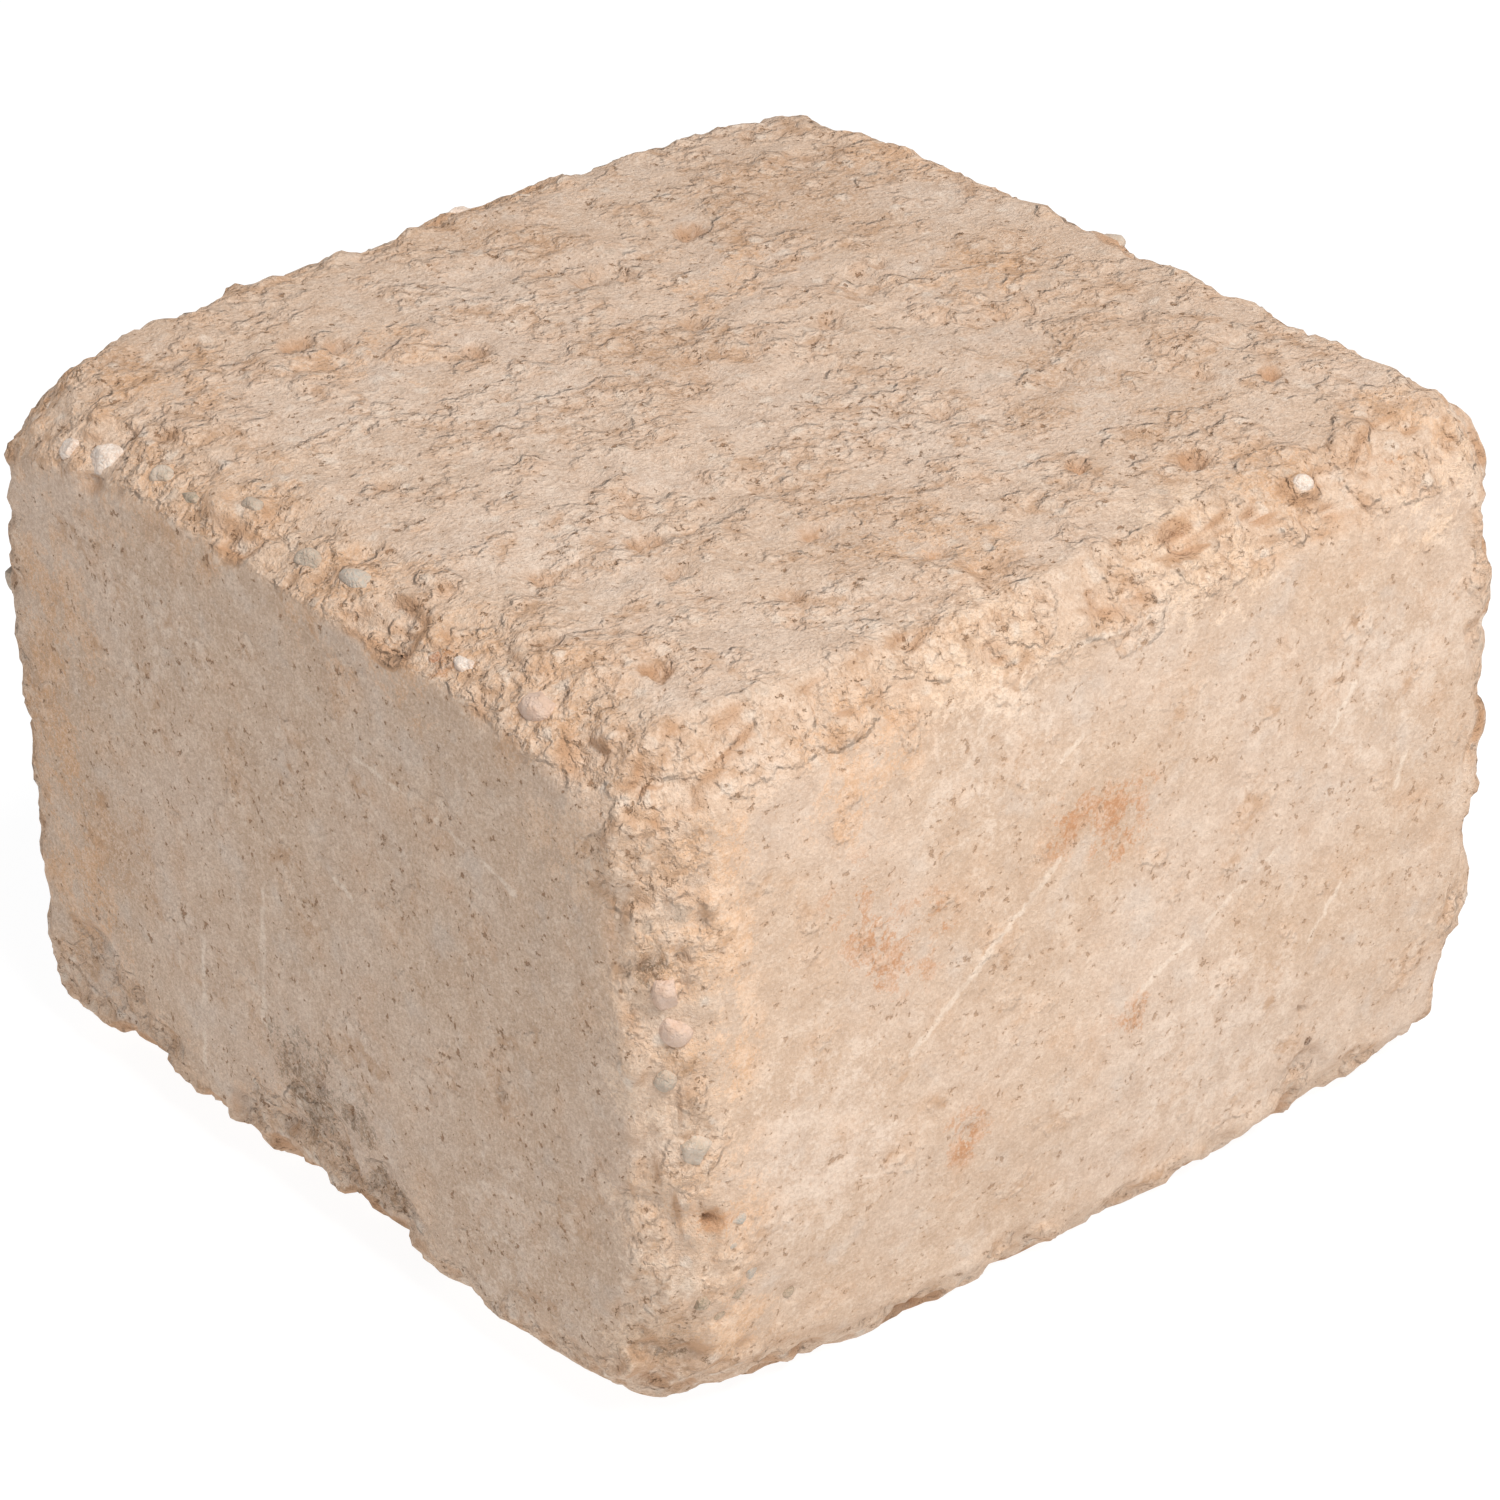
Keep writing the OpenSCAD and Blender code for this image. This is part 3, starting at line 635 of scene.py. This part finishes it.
mark_colours = {
    # The pale fines on the front arrises are also a painted highlight
    "pale_fines_and_highlight": ((0.95, 0.70, 0.50, 1), 0.6),
    "lime": ((0.82, 0.68, 0.57, 1), 0.36), "shade": ((0.56, 0.345, 0.21, 1), 0.75),
    "tan": ((0.74, 0.50, 0.335, 1), 0.85), "ochre": ((0.74, 0.43, 0.235, 1), 0.6),
    "rust": ((0.54, 0.25, 0.11, 1), 0.85), "soil": ((0.17, 0.105, 0.06, 1), 0.75),
}
breaks = patches * 5.0 + mottle * 8.0 - 6.5
# Each mark tints the colour where it spreads: stains, and the painted highlight on the front arrises
for mark, (tone, share) in mark_colours.items():
    mark_share = (field[mark] + breaks).fade(0.3, 0.9)
    mark_share = mark_share * (crumbs.fade(0.43, 0.56) * 0.5 + 0.5)
    colour = colour.tint(mark_share * field[mark].fade(0.0, 0.3) * share, tone)
colour = colour.tint(grit * pick.fade(0.84, 0.88) * 0.6, tones["pale_grit"])
colour = colour.tint(grit * pick.fade(0.12, 0.08) * 0.4, tones["dark_grit"])
for line_start, line_end, half_width in scratches:
    streak = uneven.from_line(line_start, line_end).fade(1.5 * half_width, 0.5 * half_width)
    colour = colour.tint(streak * patches.fade(0.36, 0.48) * 0.55, tones["scratch"])
strength = field["coarse"] * 0.45 + 0.32
colour = colour.tint(mottle.fade(0.50, 0.62) * 0.30, tones["pale_mottle"])
colour = colour.tint(mottle.fade(0.50, 0.38) * 0.26, tones["dark_mottle"])
colour = colour.tint(sand.fade(0.50, 0.64) * strength * 0.5, tones["pale_sand"])
colour = colour.tint(sand.fade(0.50, 0.36) * strength * 0.4, tones["dark_sand"])
colour = colour.tint(halo * 0.25, tones["pore_rim"])
# Painted highlight on the crowns of the lumps, and painted shade in the gaps between lumps and between
# crumbs
colour = colour.tint(crumbly * lump_gap.fade(0.45, 0.20) * 0.35, tones["lump_highlight"])
colour = colour.tint(crumbly * lump_gap.fade(0.62, 0.85) * 0.5, tones["shade_between_lumps"])
colour = colour.tint(crumbly * crumb_gap.fade(0.70, 0.90) * 0.4, tones["shade_between_crumbs"])
# Painted warm shade on the steep sides of ledges, pits and lumps
colour = colour.tint(field["steep"].fade(0.02, 0.22) * 0.7, tones["steep_side_shade"])
# Painted shade in the pores
colour = colour.tint(pores * strength, tones["pore_shade"])
# Painted shade in the pits and holes, darker where they are deeper, broken up by the mottle
pit_shade = (field["cavity"] + mottle * 4.0 - 2.0).fade(0.45, 1.0) * field["cavity"].fade(0.0, 0.3)
colour = colour.tint(pit_shade * 0.45, tones["hollow"])

# Relief, in millimetres
lumps = lump_gap.fade(0.85, 0.25) * 0.55 + crumb_gap.fade(0.85, 0.25) * 0.25
relief = sand * 0.45 + crumbs * 0.6 - pores * 0.3
relief = relief * (field["open"] * 0.4 + field["coarse"] * 0.3 + 0.35)
relief = relief + lumps * crumbly * (field["open"] * 0.6 + 0.4)
bump = start.add("ShaderNodeBump", {}, {"Strength": 1.0, "Distance": MM, "Height": relief})
connect(shader, tree, Base_Color=colour, Normal=bump)
shader.inputs["Roughness"].default_value = 0.95
shader.inputs["Specular IOR Level"].default_value = 0.2
mortar.data.materials.append(material)

# ---- Exposed stones ----
# Quartz, limestone and river gravel from the mix, 2 to 6 mm across, that tumbling laid bare. Each is
# held in the pocket that it was cast into.

# How many flats a stone is broken to and how far out they lie, as shares of its half size, the
# steps of its mesh, and how much it swells and how rough it is
flats, flat_near, flat_far = 9, 0.68, 0.92
stone_cells = (12, 12, 12)
stone_swell, stone_roughness = 0.10, 0.07


def stone_skin(middle, half, seed):
    """Points and quads of a broken stone: a ball stretched to its half sizes, with flats where a
    few slanted planes cut it, swollen by slow noise and roughened by fine noise."""
    cube, quads = cube_grid(stone_cells, 0.0)
    way = cube / np.linalg.norm(cube, axis=1, keepdims=True)
    draw = np.random.default_rng(seed)
    reach = 1.02 + stone_swell * noise(way, 1.1, seed)
    for _ in range(flats):
        plane = draw.normal(size=3)
        plane /= np.linalg.norm(plane)
        towards = np.maximum(way @ plane, 1e-6)
        reach = np.minimum(reach, draw.uniform(flat_near, flat_far) / towards)
    reach = reach + stone_roughness * noise(way, 0.4, seed + 1, 3)
    return leaned(middle + half * way * reach[:, None]), quads


stone_dust = (0.66, 0.48, 0.36, 1)
stone_colours = {
    "white_quartz": ((0.86, 0.755, 0.665, 1), (0.78, 0.64, 0.54, 1)),
    "pale_grey_stone": ((0.64, 0.54, 0.44, 1), (0.52, 0.43, 0.33, 1)),
    "grey_stone": ((0.52, 0.44, 0.35, 1), (0.42, 0.34, 0.26, 1)),
    "grey_green_stone": ((0.34, 0.29, 0.21, 1), (0.48, 0.39, 0.29, 1)),
    "blue_grey_stone": ((0.50, 0.455, 0.39, 1), (0.58, 0.48, 0.38, 1)),
    "pink_stone": ((0.70, 0.52, 0.42, 1), (0.64, 0.44, 0.33, 1)),
    "red_stone": ((0.50, 0.24, 0.13, 1), (0.58, 0.34, 0.21, 1)),
    "olive_stone": ((0.36, 0.28, 0.19, 1), (0.48, 0.37, 0.26, 1)),
    "brown_stone": ((0.16, 0.085, 0.045, 1), (0.24, 0.14, 0.08, 1)),
}


def stone_material(slot):
    """Mottled rock: two tones of one stone, with dust in its hollows."""
    main, second = stone_colours[slot]
    material, start, place, shader = new_material(slot)
    tree = material.node_tree
    mottle = place.grain(1.2, 3.0)
    fine = place.grain(0.3, 2.0)
    colour = start.add("ShaderNodeRGB", {}, {})
    colour.socket.default_value = main
    colour = colour.tint(mottle.fade(0.4, 0.65), second)
    colour = colour.tint(fine.fade(0.42, 0.54) * 0.45, stone_dust)
    bump = start.add("ShaderNodeBump", {}, {"Distance": MM, "Height": fine * 0.2 + mottle * 0.4})
    connect(shader, tree, Base_Color=colour, Normal=bump, Roughness=mottle * 0.3 + 0.6)
    return material


first_stone_seed = 500
stone_materials = {slot: stone_material(slot) for slot in stone_colours}
for seed, (node, boxes) in enumerate(stones.items()):
    points, quads = [], []
    for number, (middle, half) in enumerate(boxes):
        skin, faces = stone_skin(middle, half, first_stone_seed + 10 * seed + number)
        quads.append(faces + sum(map(len, points)))
        points.append(skin)
    stone = make_mesh(node + "_stone", np.concatenate(points), np.concatenate(quads))
    stone.data.materials.append(stone_materials[slot_of[node]])
    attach(stone, "root")
    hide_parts(node)

# ---- Floor, light and camera ----
# A plain white floor and soft studio light, brightest from the front right.

floor_mesh = bpy.data.meshes.new("floor")
floor_half = 3.0
floor_corners = [(-1, -1, 0), (1, -1, 0), (1, 1, 0), (-1, 1, 0)]
floor_mesh.from_pydata([Vector(corner) * floor_half for corner in floor_corners], [], [(0, 1, 2, 3)])
floor = bpy.data.objects.new("floor", floor_mesh)
bpy.context.scene.collection.objects.link(floor)
material, start, place, shader = new_material("white_floor")
shader.inputs["Base Color"].default_value = (0.15, 0.15, 0.15, 1)
shader.inputs["Roughness"].default_value = 0.9
shader.inputs["Emission Color"].default_value = (1, 1, 1, 1)
shader.inputs["Emission Strength"].default_value = 0.92
floor.data.materials.append(material)

world = bpy.data.worlds.new("studio")
world.use_nodes = True
sky = world.node_tree.nodes["Background"]
sky.inputs["Color"].default_value = (0.93, 0.97, 1.04, 1)
sky.inputs["Strength"].default_value = 0.36
bpy.context.scene.world = world
bpy.context.scene.view_settings.view_transform = "Standard"

key_light = bpy.data.lights.new("key", "AREA")
key_light.size = 0.5
key_light.energy = 16
key_light.color = (1.0, 0.97, 0.93)
key = bpy.data.objects.new("key", key_light)
key_way = Vector((-0.02, -0.53, 0.85)).normalized()
block_centre = Vector(body_middle * MM)
key_distance = 1.3
key.location = block_centre + key_way * key_distance
key.rotation_euler = key_way.to_track_quat("Z", "Y").to_euler()
bpy.context.scene.collection.objects.link(key)

# The camera looks down at the front left arris from a little over the block
camera_azimuth, camera_elevation = math.radians(-39.17), math.radians(30.44)
camera_roll = math.radians(-1.51)
camera_distance = 0.7236
camera_lens, film_width, camera_near = 126.45, 36, 0.01
camera_aim = Vector((0.0018, 0, 0.0448))
away = Vector((
    math.sin(camera_azimuth) * math.cos(camera_elevation),
    -math.cos(camera_azimuth) * math.cos(camera_elevation),
    math.sin(camera_elevation),
))
level = Vector((math.cos(camera_azimuth), math.sin(camera_azimuth), 0))
rising = away.cross(level)
across = level * math.cos(camera_roll) + rising * math.sin(camera_roll)
camera_data = bpy.data.cameras.new("camera")
camera_data.sensor_width = film_width
camera_data.lens = camera_lens
camera_data.clip_start = camera_near
camera = bpy.data.objects.new("camera", camera_data)
camera.matrix_world = Matrix.Translation(camera_aim + away * camera_distance) @ Matrix(
    (across, away.cross(across), away)
).transposed().to_4x4()
bpy.context.scene.collection.objects.link(camera)
bpy.context.scene.camera = camera
